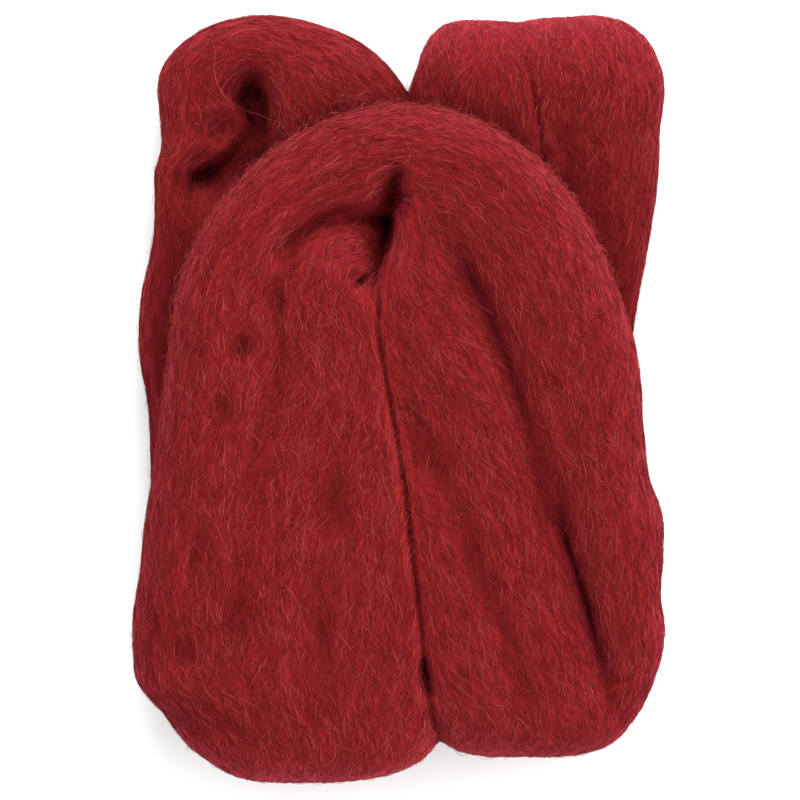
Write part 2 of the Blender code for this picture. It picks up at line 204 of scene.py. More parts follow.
# Soft troughs pressed into the top along the fibre.
TROUGHS = [
    Crease(3.4, 0.8, [(-29.5, 27.0), (-30.0, 20.0)]),
    Crease(3.6, 2.4, [(-37.0, 16.0), (-38.5, 8.0)]),
    Crease(4.0, 1.4, [(-43.0, 2.0), (-42.5, -8.0)]),
    Crease(3.6, 1.6, [(-48.0, -32.0), (-49.5, -47.0)]),
    Crease(4.0, 1.7, [(-38.5, -47.0), (-41.0, -65.0)]),
    Crease(4.5, 1.4, [(-52.5, -57.0), (-51.5, -66.0)]),
    Crease(4.0, 1.2, [(-16.5, -20.0), (-16.0, -36.0)]),
    Crease(4.2, 1.2, [(-21.0, -42.0), (-17.5, -74.0)]),
    Crease(4.2, 1.6, [(2.5, -5.5), (15.0, -29.0)]),
    Crease(4.4, 2.0, [(15.0, -29.0), (25.5, -58.0)]),
    Crease(4.6, 1.8, [(25.5, -58.0), (35.5, -82.0)]),
    Crease(8.0, 1.2, [(33.0, 14.0), (38.5, -8.0), (42.0, -34.0)]),
    Crease(4.2, 2.0, [(7.5, 42.0), (18.5, 25.0), (25.0, 13.0), (31.0, -2.5)]),
]

# The deep creases: where the left leg comes out under the arch, the pit beside it, the seam
# between the legs, the gap at their feet, the hollow round the loop's eye, the valley beside
# the right leg, and the fold.
CREASES = [
    Crease(2.4, 9.0, [(-1.2, 54.0), (-1.8, 50.0), (-2.6, 45.0), (-3.2, 39.0), (-5.0, 33.5)]),
    Crease(3.4, 6.0, [(-1.5, 51.0), (-3.2, 43.0)]),
    Crease(2.4, 3.5, [
        (-4.0, 44.5), (-9.0, 45.3), (-15.0, 45.4), (-20.0, 43.0), (-25.0, 39.5),
        (-28.5, 35.5),
    ]),
    Crease(2.2, 8.0, [(-10.0, 29.4), (-8.2, 27.4)]),
    Crease(0.7, 2.0, [
        (-5.2, 33.0), (-5.0, 27.0), (-5.2, 17.0), (-3.4, 4.8), (-1.0, -7.5), (1.5, -22.3),
        (3.2, -39.5), (5.2, -54.3), (6.4, -69.0), (9.0, -82.0),
    ]),
    Crease(1.5, 5.0, [(5.8, -64.0), (6.5, -69.0), (7.0, -71.5)]),
    Crease(5.5, 6.0, [(-52.0, 54.0), (-44.0, 58.5)]),
    Crease(8.0, 5.0, [(-44.5, 72.0), (-42.5, 62.0)]),
    Crease(1.3, 2.5, [
        (39.0, -27.0), (41.0, -35.0), (43.5, -42.5), (47.0, -54.0), (50.0, -62.5),
        (53.0, -69.0),
    ]),
    Crease(0.8, 1.5, [(31.0, 83.6), (32.2, 79.9), (34.2, 68.8), (35.9, 56.5), (37.2, 49.1)]),
]


def curve_through(rows, at):
    """Every column of the rows on a smooth curve, at these distances along the rope."""
    table = np.array(rows, float)
    steps = np.linalg.norm(np.diff(table[:, :2], axis=0), axis=1)
    marks = np.concatenate([[0.0], np.cumsum(steps)])
    slopes = np.gradient(table, marks, axis=0)
    index = np.clip(np.searchsorted(marks, at, side="right") - 1, 0, len(steps) - 1)
    span = steps[index][:, None]
    share = ((at - marks[index]) / steps[index])[:, None]
    return (
        (1 + 2 * share) * (1 - share) ** 2 * table[index]
        + share**2 * (3 - 2 * share) * table[index + 1]
        + share * (1 - share) ** 2 * span * slopes[index]
        - share**2 * (1 - share) * span * slopes[index + 1]
    )


def length_of(rows):
    table = np.array(rows, float)
    return float(np.linalg.norm(np.diff(table[:, :2], axis=0), axis=1).sum())


def stations(length):
    """Distances along the rope, closer together where its two ends round off."""
    ends = END_ROUNDING * (1 - np.cos(np.radians(END_ANGLES)))
    count = max(2, round((length - 2 * END_ROUNDING) / SECTION_STEP))
    middle = np.linspace(END_ROUNDING, length - END_ROUNDING, count)
    return np.concatenate([ends, middle, length - ends[::-1]])


def rounded_off(share):
    """The height of a quarter circle at this share of the way in from its end."""
    return np.sqrt(1 - (1 - np.minimum(1, share)) ** 2)


def rope_skin(rows, left_side, right_side, way, slant):
    """One length of the rope: the corners of its triangles, and at each corner the way the
    fibre runs there and its distances along the fibre and across it. Also its girth."""
    length = length_of(rows)
    at = stations(length)
    x, y, z, heading, half_width, half_depth = curve_through(rows, at).T
    heading = np.radians(heading)
    to_end = np.minimum(at, length - at)
    half_width = half_width * np.sqrt(rounded_off(to_end / CORNER_ROUNDING))
    half_depth = half_depth * rounded_off(to_end / END_ROUNDING)

    # A ring starts at its lowest point, which keeps the join of the map underneath.
    turn = 2 * np.pi * np.arange(POINTS_ROUND + 1) / POINTS_ROUND - np.pi / 2
    side = np.where(np.cos(turn) > 0, right_side, left_side)
    out = np.sign(np.cos(turn)) * np.abs(np.cos(turn)) ** (2 / side)
    up = np.sign(np.sin(turn)) * np.abs(np.sin(turn)) ** (2 / side)
    across = half_width[:, None] * out
    ring = np.stack(
        [
            x[:, None] + across * np.sin(heading)[:, None],
            y[:, None] - across * np.cos(heading)[:, None],
            z[:, None] + half_depth[:, None] * up,
        ],
        2,
    )
    run = np.gradient(ring, axis=0)
    run /= np.maximum(np.linalg.norm(run, axis=2, keepdims=True), 1e-6)

    # Where the rope turns back at an end, its fibres run over the end and down, not to a tip.
    around = np.gradient(ring, axis=1)
    around /= np.maximum(np.linalg.norm(around, axis=2, keepdims=True), 1e-6)
    to_right = np.stack([np.sin(heading), -np.cos(heading), 0 * heading], 1)
    over_end = np.cross(np.cross(run, around), to_right[:, None])
    turning = (2 - 2 * to_end / END_ROUNDING).clip(0, 1 - END_KEPT)[:, None, None]
    run = (1 - turning) * run + turning * over_end
    run *= way / np.maximum(np.linalg.norm(run, axis=2, keepdims=True), 1e-6)
    slanted = np.radians(slant) * (1 - at / length) ** 2
    turned = slanted[:, None] * np.sin(turn).clip(0, 1)
    x_run, y_run = run[:, :, 0].copy(), run[:, :, 1].copy()
    run[:, :, 0] = x_run * np.cos(turned) - y_run * np.sin(turned)
    run[:, :, 1] = x_run * np.sin(turned) + y_run * np.cos(turned)
    drift = np.cumsum(np.tan(slanted) * np.gradient(at))
    steps = np.linalg.norm(np.diff(ring, axis=1), axis=2).mean(0)
    round_it = np.concatenate([[0.0], np.cumsum(steps)])
    along_it = np.broadcast_to(at[:, None, None], ring.shape[:2] + (1,))
    grid = np.concatenate([ring, run, along_it, (round_it - drift[:, None])[:, :, None]], 2)
    a, b, c, d = grid[:-1, :-1], grid[1:, :-1], grid[1:, 1:], grid[:-1, 1:]
    sides = np.concatenate([np.stack([a, d, c], 2), np.stack([a, c, b], 2)])
    caps = []
    for end, order in ((grid[0], (0, 1, 2)), (grid[-1], (0, 2, 1))):
        tip = np.broadcast_to(end[:-1].mean(0), end[:-1].shape)
        caps.append(np.stack([tip, end[1:], end[:-1]], 1)[:, order])
    return np.concatenate([sides.reshape(-1, 3, 8)] + caps), round_it[-1]


def mesh_of(triangles, name):
    """A closed mesh of these triangles, with their shared corners merged."""
    corners, index = np.unique(
        np.round(triangles.reshape(-1, 3), 5), axis=0, return_inverse=True
    )
    faces = index.reshape(-1, 3)
    whole = (faces[:, 0] != faces[:, 1]) & (faces[:, 1] != faces[:, 2])
    whole &= faces[:, 0] != faces[:, 2]
    mesh = bpy.data.meshes.new(name)
    mesh.from_pydata((corners * MM).tolist(), [], faces[whole].tolist())
    return mesh


def evaluated_mesh(thing):
    graph = bpy.context.evaluated_depsgraph_get()
    return bpy.data.meshes.new_from_object(thing.evaluated_get(graph))


def read(mesh, what="co"):
    found = np.empty(len(mesh.vertices) * 3, np.float32)
    mesh.vertices.foreach_get(what, found)
    return found.reshape(-1, 3).astype(float)


def write(mesh, places):
    mesh.vertices.foreach_set("co", places.astype(np.float32).ravel())
    mesh.update()


def keep_outer_skin(mesh):
    """Removes any closed pocket left between the lengths inside the hank."""
    ends = np.empty(len(mesh.edges) * 2, np.int32)
    mesh.edges.foreach_get("vertices", ends)
    ends = ends.reshape(-1, 2)
    group = np.arange(len(mesh.vertices))
    while True:
        lower = np.minimum(group[ends[:, 0]], group[ends[:, 1]])
        before = group.copy()
        np.minimum.at(group, ends[:, 0], lower)
        np.minimum.at(group, ends[:, 1], lower)
        group = group[group]
        if (group == before).all():
            break
    names, sizes = np.unique(group, return_counts=True)
    skin = bmesh.new()
    skin.from_mesh(mesh)
    skin.verts.ensure_lookup_table()
    stray = np.nonzero(group != names[sizes.argmax()])[0]
    bmesh.ops.delete(skin, geom=[skin.verts[i] for i in stray], context="VERTS")
    skin.to_mesh(mesh)
    skin.free()


def sunk_by(creases, places):
    """How far each place is pressed in by the creases, in metres: most along the middle of
    their lines, fading towards the ends."""
    sunk = np.zeros(len(places))
    for crease in creases:
        line = np.array(crease.line, float) * MM
        steps = np.linalg.norm(np.diff(line, axis=0), axis=1)
        marks = np.concatenate([[0.0], np.cumsum(steps)]) / steps.sum()
        nearest = np.full(len(places), np.inf)
        at = np.zeros(len(places))
        for i in range(len(steps)):
            run = line[i + 1] - line[i]
            from_start = places[:, :2] - line[i]
            share = np.clip(from_start @ run / (run @ run), 0, 1)
            away = np.linalg.norm(from_start - share[:, None] * run, axis=1)
            closer = away < nearest
            nearest[closer] = away[closer]
            at[closer] = (marks[i] + share * (marks[i + 1] - marks[i]))[closer]
        fade = CREASE_END + (1 - CREASE_END) * np.sin(np.pi * at)
        sunk += crease.depth * MM * fade * np.exp(-((nearest / (crease.width * MM)) ** 2))
    return sunk


skins, girths = zip(*(rope_skin(*length) for length in LENGTHS))
laid = mesh_of(np.concatenate([skin[:, :, :3] for skin in skins]), "laid")
rope = bpy.data.objects.new("wound_rope", laid)
bpy.context.scene.collection.objects.link(rope)
felting = rope.modifiers.new("felting", "REMESH")
felting.mode = "VOXEL"
felting.voxel_size = FELT_VOXEL * MM
softening = rope.modifiers.new("softening", "SMOOTH")
softening.factor = 0.5
softening.iterations = FELT_SMOOTHING
body = evaluated_mesh(rope)
rope.modifiers.clear()
keep_outer_skin(body)
places = read(body)
up = np.clip(read(body, "normal")[:, 2], 0, 1)
places[:, 2] -= sunk_by(TROUGHS + CREASES, places) * up
write(body, places)
rope.data = body
thinning = rope.modifiers.new("thinning", "DECIMATE")
thinning.ratio = ROPE_TRIANGLES / (2 * len(body.polygons))
thinning.use_collapse_triangulate = True
body = evaluated_mesh(rope)
rope.modifiers.clear()
rope.data = body
body.name = "wound_rope"

places = read(body)
middle = (places.min(0) + places.max(0)) / 2
shift = np.array((middle[0], middle[1], 0.0))


def tree_of(corners):
    points = (corners[:, :, :3].reshape(-1, 3) * MM - shift).tolist()
    return BVHTree.FromPolygons(points, np.arange(len(points)).reshape(-1, 3).tolist())


def on_skin(tree, corners, points):
    """The skin's values at the place on it nearest to each point, and the triangle there."""
    hits = [tree.find_nearest(Vector(point)) for point in points]
    face = np.array([hit[2] for hit in hits])
    place = (np.array([hit[0] for hit in hits]) + shift) / MM
    a, b, c = (corners[face, i] for i in range(3))
    one, two, to = b[:, :3] - a[:, :3], c[:, :3] - a[:, :3], place - a[:, :3]
    oo, ot, tt = (one * one).sum(1), (one * two).sum(1), (two * two).sum(1)
    po, pt = (to * one).sum(1), (to * two).sum(1)
    area = np.maximum(oo * tt - ot * ot, 1e-9)
    share_b = ((tt * po - ot * pt) / area).clip(0, 1)[:, None]
    share_c = ((oo * pt - ot * po) / area).clip(0, 1)[:, None]
    return a + share_b * (b - a) + share_c * (c - a), face


def smoothed(values, ends, times):
    """Averages each point's values with its neighbours', this many times."""
    count = np.bincount(ends.ravel(), minlength=len(values))[:, None] + 1.0
    for _ in range(times):
        total = values.copy()
        for i in range(values.shape[1]):
            total[:, i] += np.bincount(ends[:, 0], values[ends[:, 1], i], len(values))
            total[:, i] += np.bincount(ends[:, 1], values[ends[:, 0], i], len(values))
        values = total / count
    return values


def unit(vectors):
    return vectors / np.maximum(np.linalg.norm(vectors, axis=1, keepdims=True), 1e-9)


def put(mesh, name, kind, domain, values):
    made = mesh.attributes.new(name, kind, domain)
    field = "vector" if values.ndim > 1 and values.shape[1] == 3 else "value"
    made.data.foreach_set(field, values.astype(np.float32).ravel())


def rising(values, low, high):
    """0 up to the low value, 1 from the high value on, and a straight slope between them."""
    return ((values - low) / (high - low)).clip(0, 1)


# Each place on the felted body takes the way of the fibre, and its distances along and round
# the rope, from the length that it lies on.
WAY_SMOOTHING = 4
places -= shift
corners = np.concatenate(skins)
skin_of = np.concatenate([np.full(len(skin), i) for i, skin in enumerate(skins)])
values, face = on_skin(tree_of(corners), corners, places)
point_skin = skin_of[face]
ends = np.empty(len(body.edges) * 2, np.int32)
body.edges.foreach_get("vertices", ends)
ends = ends.reshape(-1, 2)
way = smoothed(values[:, 3:6], ends, WAY_SMOOTHING)

# Locks and smaller tufts of fibre lie along the rope in low ridges, laid apart on each length.
LOCK_LENGTH = 22.0
LOCK_WIDTH = 3.2
LOCK_HEIGHT = 0.35
TUFT_LENGTH = 9.0
TUFT_WIDTH = 1.6
TUFT_HEIGHT = 0.12
LENGTH_APART = 17.0
normals = read(body, "normal")
ridge = np.array(
    [
        LOCK_HEIGHT * noise.noise((u / LOCK_LENGTH, v / LOCK_WIDTH, LENGTH_APART * i))
        + TUFT_HEIGHT * noise.noise((u / TUFT_LENGTH, v / TUFT_WIDTH, LENGTH_APART * i))
        for u, v, i in zip(values[:, 6], values[:, 7], point_skin)
    ]
)
places += normals * ridge[:, None] * MM
places[:, 2] = np.maximum(places[:, 2], 0)
write(body, places)
normals = read(body, "normal")
way = unit(way - (way * normals).sum(1)[:, None] * normals)
put(body, "way", "FLOAT_VECTOR", "POINT", way)

# How deep each place lies below the general run of the surface.
CREASE_REACH = 60
CREASE_FULL = 1.6
even = smoothed(places, ends, CREASE_REACH)
crease = (((even - places) * normals).sum(1) / (CREASE_FULL * MM)).clip(0, 1)

SHADE_CELL = 1.5
SHADE_REACH = 9.0


def surroundings(places):
    """The height of the top around each place, evened out over SHADE_REACH, and how much of
    the surroundings the hank fills."""
    margin = 3 * SHADE_REACH
    low = places[:, :2].min(0) / MM - margin
    count = np.ceil((places[:, :2].max(0) / MM + margin - low) / SHADE_CELL).astype(int)
    cell = ((places[:, :2] / MM - low) / SHADE_CELL).astype(int)
    top = np.zeros(count)
    np.maximum.at(top, (cell[:, 0], cell[:, 1]), places[:, 2] / MM)
    away = np.arange(-margin, margin + SHADE_CELL, SHADE_CELL) / SHADE_REACH
    weight = np.exp(-0.5 * away**2)
    weight /= weight.sum()

    def even(heights):
        for axis in (0, 1):
            heights = np.apply_along_axis(np.convolve, axis, heights, weight, "same")
        return heights[cell[:, 0], cell[:, 1]]

    return even(top), even((top > 0).astype(float))


# Painted shade: little light reaches the places that lie deep between higher folds, or low
# beside one, or deep in a crease, and the colour there is painted darker for it.
SHADE_FULL = 12.0
around, share = surroundings(places)
height = places[:, 2] / MM
between = (around - height) / SHADE_FULL
beside = (around / share - height) / SHADE_FULL * normals[:, 2].clip(0, 1) ** 3
hollow = np.maximum(np.maximum(between, beside).clip(0, 1), crease)
put(body, "hollow", "FLOAT", "POINT", hollow)

# Painted sheen: on the flanks that stand out, the loose fuzz is seen through its depth and
# catches light, and the colour there is painted a paler pink for it.
SHEEN_SMOOTHING = 24
SHEEN_SPREAD = 1.5
SHEEN_FALLOFF = 1.6
LOW_SHEEN = 0.4
outstanding = rising(height - around, -4.8, 3.2)
outstanding *= LOW_SHEEN + (1 - LOW_SHEEN) * rising(height, 8, 22)
broad_lie = unit(smoothed(normals, ends, SHEEN_SMOOTHING))
edge_on = (SHEEN_SPREAD * (1 - broad_lie[:, 2])).clip(0, 1) ** SHEEN_FALLOFF
painted_sheen = edge_on * (1 - hollow) ** 2 * outstanding
put(body, "painted_sheen", "FLOAT", "POINT", painted_sheen)

# Fibres show all over, most of them on top, few in the creases, and none where the hank lies
# on the table.
SIDE_COVER = 0.4
CREASE_THINNING = 0.75
TABLE_CLEARANCE = 0.4
cover = SIDE_COVER + (1 - SIDE_COVER) * rising(normals[:, 2], -0.3, 0.5)
cover = cover * (places[:, 2] > TABLE_CLEARANCE * MM) * (1 - CREASE_THINNING * crease)
put(body, "cover", "FLOAT", "POINT", cover)

# Fuzz stands off the shoulders of the front layer, where they rise over the back layer.
SHOULDER_HEIGHT = 12
shoulder = rising(normals[:, 2], 0.75, 0.25) * (height > SHOULDER_HEIGHT)
rim = shoulder * rising(share, 0.78, 0.9)
put(body, "rim", "FLOAT", "POINT", rim)

# The map lies along the fibre, and each face takes it from one length. One unit of it is
# MAP_UNIT millimetres, and the lengths lie MAP_APART from each other on it.
MAP_UNIT = 200.0
MAP_APART = 150.0
verts = np.empty(len(body.loops), np.int32)
body.loops.foreach_get("vertex_index", verts)
verts = verts.reshape(-1, 3)
owners = point_skin[verts]
face_skin = np.where(owners[:, 1] == owners[:, 2], owners[:, 1], owners[:, 0])
laid_out = values[verts][:, :, 6:8].copy()
for i, skin in enumerate(skins):
    tree = tree_of(skin)
    rows, cols = np.nonzero((owners != i) & (face_skin == i)[:, None])
    if len(rows):
        laid_out[rows, cols] = on_skin(tree, skin, places[verts[rows, cols]])[0][:, 6:8]
    mine = face_skin == i
    round_it = laid_out[mine, :, 1]
    split = (np.ptp(round_it, axis=1) > girths[i] / 2)[:, None]
    low = split & (round_it < girths[i] / 2)
    laid_out[mine, :, 1] = np.where(low, round_it + girths[i], round_it)
laid_out[:, :, 1] += face_skin[:, None] * MAP_APART
fibre_map = body.uv_layers.new(name="fibre_map")
fibre_map.data.foreach_set("uv", (laid_out / MAP_UNIT).astype(np.float32).ravel())
body.polygons.foreach_set("use_smooth", np.ones(len(body.polygons), bool))


def linear(colour):
    """A colour given as sRGB hex, as the shader takes it."""
    found = []
    for i in (1, 3, 5):
        part = int(colour[i : i + 2], 16) / 255
        found.append(part / 12.92 if part <= 0.04045 else ((part + 0.055) / 1.055) ** 2.4)
    return (*found, 1.0)


def node(tree, kind, *in_order, **named):
    """Adds a node. Names in lower case are its settings, and the others are its inputs, which
    may also be given in order. An input is a plain value, or the node or socket that it is
    linked from."""
    made = tree.nodes.new(kind)
    inputs = list(enumerate(in_order))
    for name, value in named.items():
        if name.islower():
            setattr(made, name, value)
        else:
            inputs.append((name.replace("_", " ").lower(), value))
    for name, value in inputs:
        if isinstance(name, int):
            socket = made.inputs[name]
        else:
            socket = next(s for s in made.inputs if s.name.lower() == name and s.enabled)
        if isinstance(value, bpy.types.Node):
            value = next(s for s in value.outputs if s.enabled)
        if isinstance(value, bpy.types.NodeSocket):
            tree.links.new(value, socket)
        else:
            socket.default_value = value
    return made


# Dyed merino top, combed and left loose: matt and velvety, each fibre a little lighter or
# darker, with painted shade in the dark gaps between them. A pink painted sheen lies where it
# is seen edge on, and painted shade in the hollows and creases. The fibres are 0.02 to 0.03 mm
# thick, too fine to show, so the strands are drawn about ten times as wide. The streaks are
# locks that took the dye a little more or less.
FINE_LENGTH = 7.0
FINE_WIDTH = 0.26
FINE_CONTRAST = 6.0
STREAK_LENGTH = 26.0
STREAK_WIDTH = 0.9
STREAK_SHARE = 0.45
WANDER_LENGTH = 4.0
WANDER_WIDTH = 2.5
WANDER_REACH = 1.3
wool = bpy.data.materials.new("dyed_combed_wool")
wool.use_nodes = True
tree = wool.node_tree
tree.nodes.clear()
fibre_lie = node(tree, "ShaderNodeUVMap", uv_map="fibre_map")
wander, streaks = (
    node(
        tree,
        "ShaderNodeTexNoise",
        Vector=node(
            tree,
            "ShaderNodeMapping",
            Vector=fibre_lie,
            Scale=(MAP_UNIT / length, MAP_UNIT / width, 1.0),
        ),
        Scale=1.0,
        Detail=detail,
    )
    for length, width, detail in (
        (WANDER_LENGTH, WANDER_WIDTH, 1.0),
        (STREAK_LENGTH, STREAK_WIDTH, 2.0),
    )
)
reach = WANDER_REACH / MAP_UNIT
swerve = node(
    tree, "ShaderNodeMath", wander.outputs["Fac"], reach, -0.5 * reach, operation="MULTIPLY_ADD"
)
aside = node(tree, "ShaderNodeCombineXYZ", X=0.0, Y=swerve)
strayed = node(tree, "ShaderNodeVectorMath", fibre_lie, aside, operation="ADD")


def strands(lie, angle, width):
    """Thin wavy lines along the fibre, turned from it by an angle, with dark between them:
    painted shade in the gaps between the fibres.
    """
    turned = node(tree, "ShaderNodeVectorRotate", Vector=lie, Angle=math.radians(angle))
    scaled = node(
        tree,
        "ShaderNodeMapping",
        Vector=turned,
        Scale=(MAP_UNIT / FINE_LENGTH, MAP_UNIT / width, 1.0),
    )
    waves = node(tree, "ShaderNodeTexNoise", Vector=scaled, Scale=1.0, Detail=1.0)
    off = node(tree, "ShaderNodeMath", waves.outputs["Fac"], 0.5, operation="SUBTRACT")
    off = node(tree, "ShaderNodeMath", off, operation="ABSOLUTE")
    line = node(tree, "ShaderNodeMath", off, -FINE_CONTRAST, 1.0, operation="MULTIPLY_ADD")
    return node(tree, "ShaderNodeMath", line, 0.0, operation="MAXIMUM")


one_way = strands(strayed, 9, FINE_WIDTH)
other_way = strands(strayed, -12, 1.3 * FINE_WIDTH)
straight = strands(strayed, 3, 0.8 * FINE_WIDTH)
crossed = node(tree, "ShaderNodeMath", one_way, other_way, operation="MAXIMUM")
fine = node(tree, "ShaderNodeMath", crossed, straight, operation="MAXIMUM")
both = node(
    tree,
    "ShaderNodeMix",
    data_type="FLOAT",
    Factor=STREAK_SHARE,
    A=fine,
    B=streaks.outputs["Fac"],
)
# The ramp's dark low end is the painted shade in the gaps between the strands, and the streaks
# mixed in are dye.
shades = node(tree, "ShaderNodeValToRGB", Fac=both)
ramp = shades.color_ramp
ramp.elements[0].position = 0.1
ramp.elements[0].color = linear("#58090A")
ramp.elements[1].position = 0.85
ramp.elements[1].color = linear("#7B1C1E")
half_way = ramp.elements.new(0.45)
half_way.color = linear("#6A0D10")
# Painted sheen: a paler pink is mixed in on the flanks seen edge on.
painted_sheen_at = node(tree, "ShaderNodeAttribute", attribute_name="painted_sheen")
sheen_painted = node(
    tree,
    "ShaderNodeMix",
    data_type="RGBA",
    Factor=painted_sheen_at.outputs["Fac"],
    A=shades.outputs["Color"],
    B=linear("#872335"),
)
# Painted shade: the colour is darkened towards a near black red in the hollows and creases.
painted_shade_at = node(tree, "ShaderNodeAttribute", attribute_name="hollow")
shaded = node(
    tree,
    "ShaderNodeMix",
    data_type="RGBA",
    Factor=painted_shade_at.outputs["Fac"],
    A=sheen_painted,
    B=linear("#2C0507"),
)
relief = node(tree, "ShaderNodeBump", Strength=0.18, Distance=0.12 * MM, Height=fine)
surface = node(
    tree,
    "ShaderNodeBsdfPrincipled",
    Base_Color=shaded,
    Roughness=0.9,
    Specular_IOR_Level=0.05,
    Sheen_Weight=0.6,
    Sheen_Roughness=0.4,
    Sheen_Tint=linear("#EC3C60"),
    Normal=relief,
)
node(tree, "ShaderNodeOutputMaterial", Surface=surface)
body.materials.clear()
body.materials.append(wool)

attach(rope, "root")
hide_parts("roving")

# ------------------------------------------------------------------------------------------
# The combed fibres. Combing lays the single wool fibres side by side along the rope. About a
# centimetre of each shows before it dips under its neighbours, and only its crimp holds it.
# ------------------------------------------------------------------------------------------

# The real fibres are 0.02 to 0.03 mm thick, and there are far more of them. They are drawn
# three to four times as thick so that they show, with painted shade darkening them in a hollow
# and painted sheen making them paler on the flanks seen edge on.
FIBRE_SIDES = 3
CRIMP_TURN = 1.9
PAINTED_SHADE_DARKENS = 0.6
PAINTED_SHEEN_LIGHTENS = 0.2
PALEST_COMBED = 0.96
FIBRE_INPUTS = {
    "NodeSocketGeometry": ("Geometry",),
    "NodeSocketFloat": (
        "Density", "Length", "Thickness", "Stray", "Crimp", "Spin", "Lift", "Standing",
        "Darkest", "Palest",
    ),
    "NodeSocketInt": ("Seed",),
    "NodeSocketMaterial": ("Material",),
}


def fibre_tree(name, points_each, cover="cover"):
    """Fibres that start at random places on a skin, more of them where its cover is higher.
    Each follows the way of the skin's fibre for a few points, lying on the skin or standing
    off it at its far end, and tapers to nothing at both ends."""
    tree = bpy.data.node_groups.new(name, "GeometryNodeTree")
    for kind, titles in FIBRE_INPUTS.items():
        for title in titles:
            tree.interface.new_socket(title, in_out="INPUT", socket_type=kind)
    tree.interface.new_socket("Geometry", in_out="OUTPUT", socket_type="NodeSocketGeometry")
    given = node(tree, "NodeGroupInput").outputs
    skin = given["Geometry"]
    index = node(tree, "GeometryNodeInputIndex")
    position = node(tree, "GeometryNodeInputPosition")

    # What the skin, the fibres' points and their tubes carry.
    on_points = ("turn", "bend", "reach", "phase", "rise", "spin", "shade", "along", "round")
    carried = {}
    for kind, titles in (
        ("FLOAT", (cover, "hollow", "painted_sheen", *on_points)),
        ("INT", ("fibre", "step")),
        ("FLOAT_VECTOR", ("way",)),
    ):
        for title in titles:
            carried[title] = node(
                tree, "GeometryNodeInputNamedAttribute", data_type=kind, Name=title
            )

    # Each fibre draws a number for each of its traits.
    drawn = {}
    for offset, (trait, low, high) in enumerate(
        (
            ("stray", -0.5, 0.5),
            ("more_stray", -0.5, 0.5),
            ("crimp", -1.0, 1.0),
            ("length", 0.6, 1.4),
            ("phase", 0.0, 2 * math.pi),
            ("lift", 0.0, 1.0),
            ("shade", given["Darkest"], given["Palest"]),
            ("spin", -1.0, 1.0),
        ),
        start=1,
    ):
        drawn[trait] = node(
            tree,
            "FunctionNodeRandomValue",
            data_type="FLOAT",
            Min=low,
            Max=high,
            ID=index,
            Seed=node(tree, "ShaderNodeMath", given["Seed"], float(offset), operation="ADD"),
        )
    stray = node(tree, "ShaderNodeMath", drawn["stray"], drawn["more_stray"], operation="ADD")
    turn = node(tree, "ShaderNodeMath", stray, given["Stray"], operation="MULTIPLY")
    bend = node(tree, "ShaderNodeMath", drawn["crimp"], given["Crimp"], operation="MULTIPLY")
    spin = node(tree, "ShaderNodeMath", drawn["spin"], given["Spin"], operation="MULTIPLY")
    whole = node(tree, "ShaderNodeMath", drawn["length"], given["Length"], operation="MULTIPLY")
    reach = node(tree, "ShaderNodeMath", whole, points_each - 1.0, operation="DIVIDE")
    rise = node(tree, "ShaderNodeMath", drawn["lift"], 2.0, operation="POWER")
    rise = node(tree, "ShaderNodeMath", rise, given["Lift"], operation="MULTIPLY")
    # Painted shade and painted sheen: a fibre's shade is darkened where the skin has painted
    # shade, and made paler where it has painted sheen.
    dimmed = node(
        tree,
        "ShaderNodeMath",
        carried["hollow"],
        -PAINTED_SHADE_DARKENS,
        1.0,
        operation="MULTIPLY_ADD",
    )
    shade = node(tree, "ShaderNodeMath", drawn["shade"], dimmed, operation="MULTIPLY")
    shade = node(
        tree,
        "ShaderNodeMath",
        carried["painted_sheen"],
        PAINTED_SHEEN_LIGHTENS,
        shade,
        operation="MULTIPLY_ADD",
    )
    shade = node(tree, "ShaderNodeMath", shade, PALEST_COMBED, operation="MINIMUM")

    # A point walks for each fibre, and carries the fibre's traits along.
    walkers = node(
        tree,
        "GeometryNodeDistributePointsOnFaces",
        Mesh=skin,
        Density=node(
            tree, "ShaderNodeMath", carried[cover], given["Density"], operation="MULTIPLY"
        ),
        Seed=given["Seed"],
    )
    for title, kind, value in (
        ("fibre", "INT", index),
        ("turn", "FLOAT", turn),
        ("bend", "FLOAT", bend),
        ("reach", "FLOAT", reach),
        ("phase", "FLOAT", drawn["phase"]),
        ("rise", "FLOAT", rise),
        ("spin", "FLOAT", spin),
        ("shade", "FLOAT", shade),
    ):
        walkers = node(
            tree,
            "GeometryNodeStoreNamedAttribute",
            data_type=kind,
            domain="POINT",
            Geometry=walkers,
            Name=title,
            Value=value,
        )

    # At each step it leaves a point behind and moves on along the skin, swinging from side to
    # side with its crimp.
    begin = node(tree, "GeometryNodeRepeatInput")
    finish = node(tree, "GeometryNodeRepeatOutput")
    begin.pair_with_output(finish)
    finish.repeat_items.new("GEOMETRY", "Trail")
    begin.inputs["Iterations"].default_value = points_each
    tree.links.new(walkers.outputs[0], begin.inputs["Geometry"])
    now = begin.outputs["Iteration"]
    here = node(
        tree,
        "GeometryNodeStoreNamedAttribute",
        data_type="INT",
        domain="POINT",
        Geometry=begin.outputs["Geometry"],
        Name="step",
        Value=now,
    )
    trail = node(tree, "GeometryNodeJoinGeometry")
    tree.links.new(here.outputs[0], trail.inputs[0])
    tree.links.new(begin.outputs["Trail"], trail.inputs[0])

